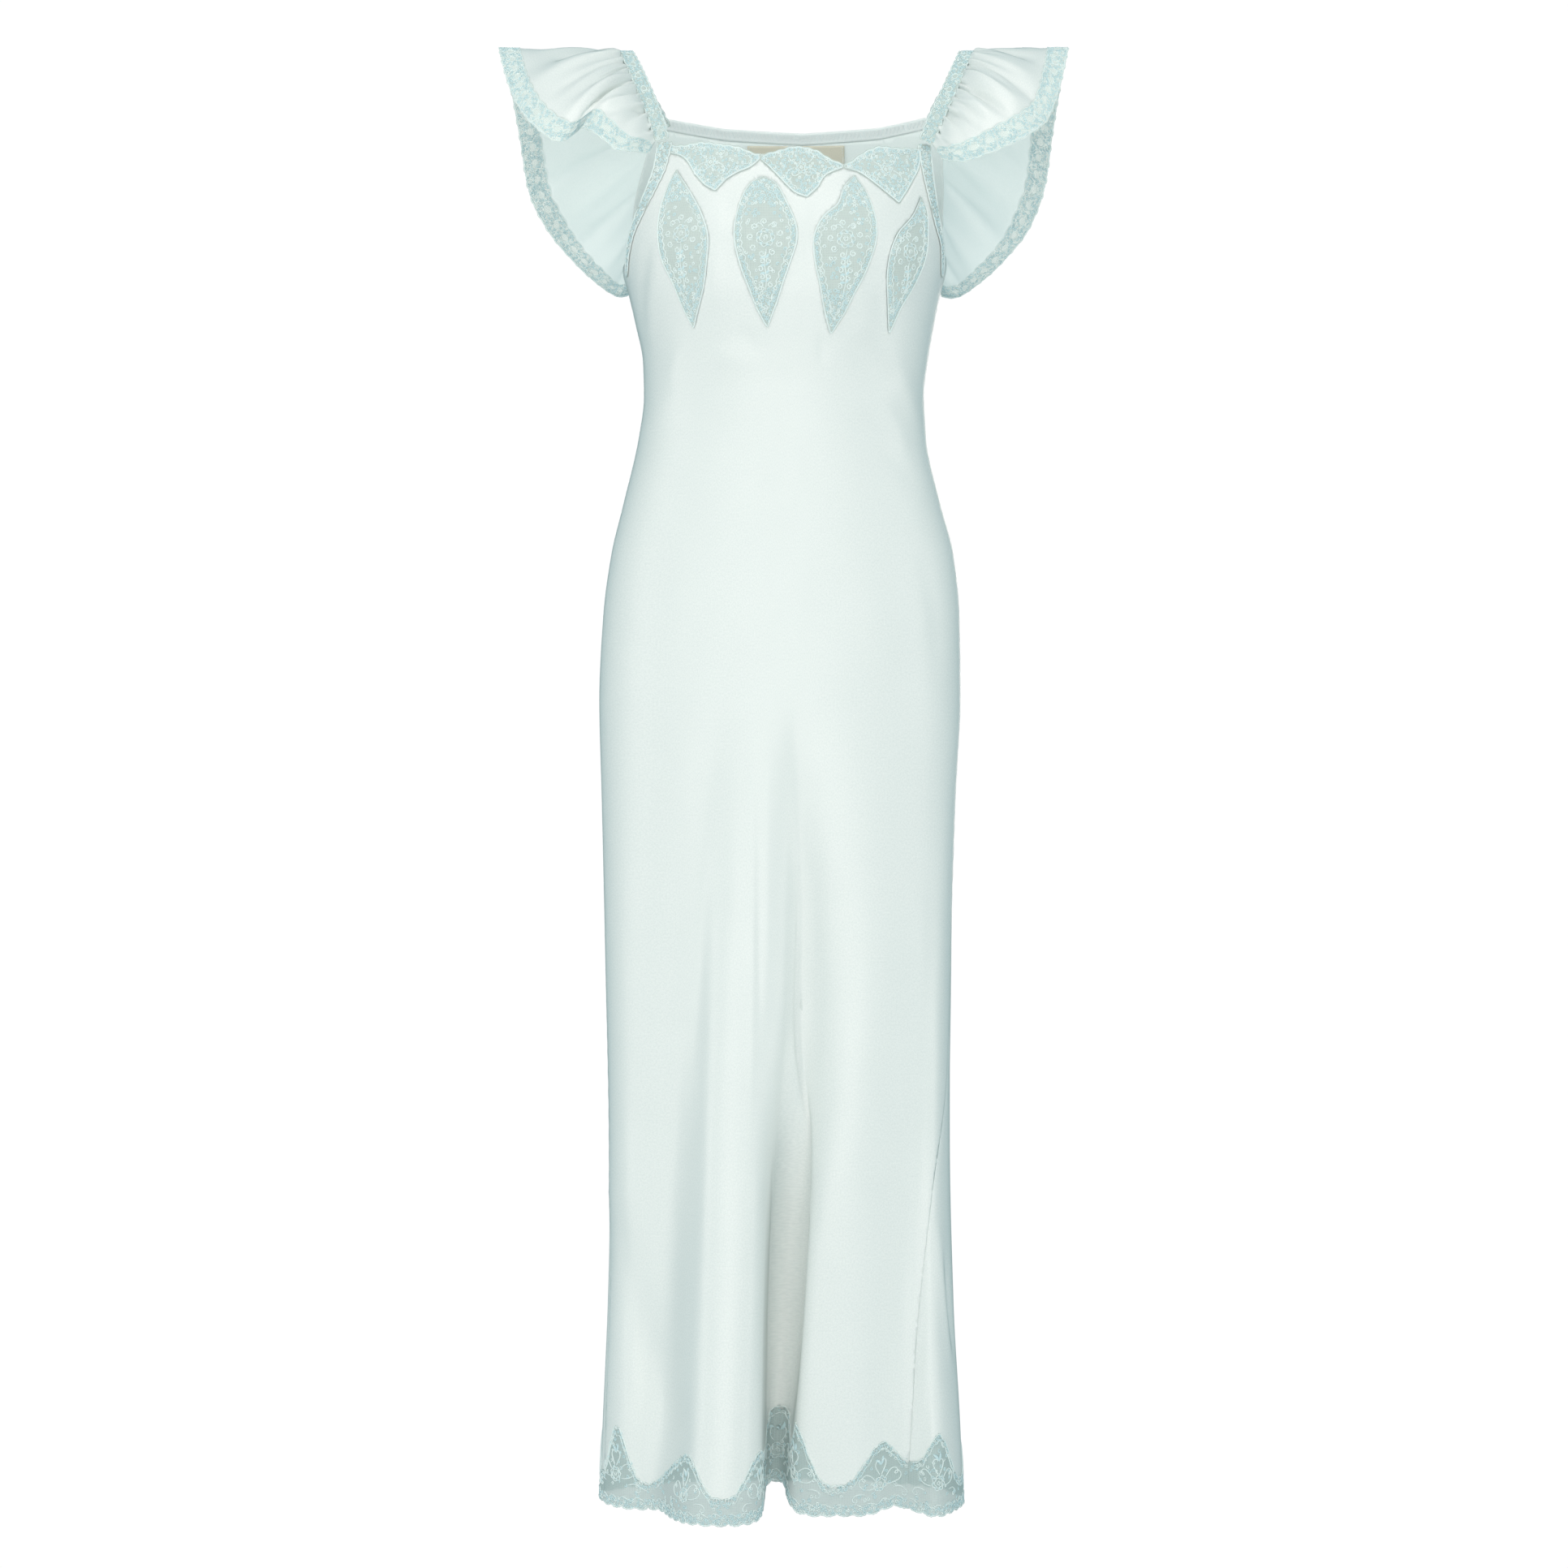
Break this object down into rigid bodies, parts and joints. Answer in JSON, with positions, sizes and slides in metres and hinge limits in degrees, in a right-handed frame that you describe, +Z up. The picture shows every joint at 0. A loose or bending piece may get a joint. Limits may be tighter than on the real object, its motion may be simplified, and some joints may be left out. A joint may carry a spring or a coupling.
{
  "type": "satin maxi dress",
  "caption": "A worn-form bias-cut satin maxi dress with gathered flutter sleeves, lace insets at the neckline and bust, and a scalloped lace hem.",
  "frame": {"origin": "midway between the shoulders, at the height where the straps rest on them", "axes": "+Z up, the front of the dress faces -Y, +X towards the wearer's left"},
  "size_m": [0.561, 0.2814, 1.4378],
  "materials": {
    "satin": "pale aqua satin",
    "lace": "sheer net with matt corded embroidery",
    "neck_band": "folded satin under zigzag stitching",
    "label": "woven, blank"
  },
  "bodies": {
    "root": {"front_panel": "satin", "back_panel": "satin", "sleeve_right": "satin", "sleeve_left": "satin", "sleeve_lace_right": "lace", "sleeve_lace_left": "lace", "strap_lace_right": "lace", "strap_lace_left": "lace", "armhole_lace_right": "lace", "armhole_lace_left": "lace", "neck_lace_right": "lace", "neck_lace_middle": "lace", "neck_lace_left": "lace", "diamond_lace_1": "lace", "diamond_lace_2": "lace", "diamond_lace_3": "lace", "diamond_lace_4": "lace", "hem_lace_front": "lace", "hem_lace_back": "lace", "back_neck_band": "neck_band", "label": "label"}
  },
  "joints": []
}
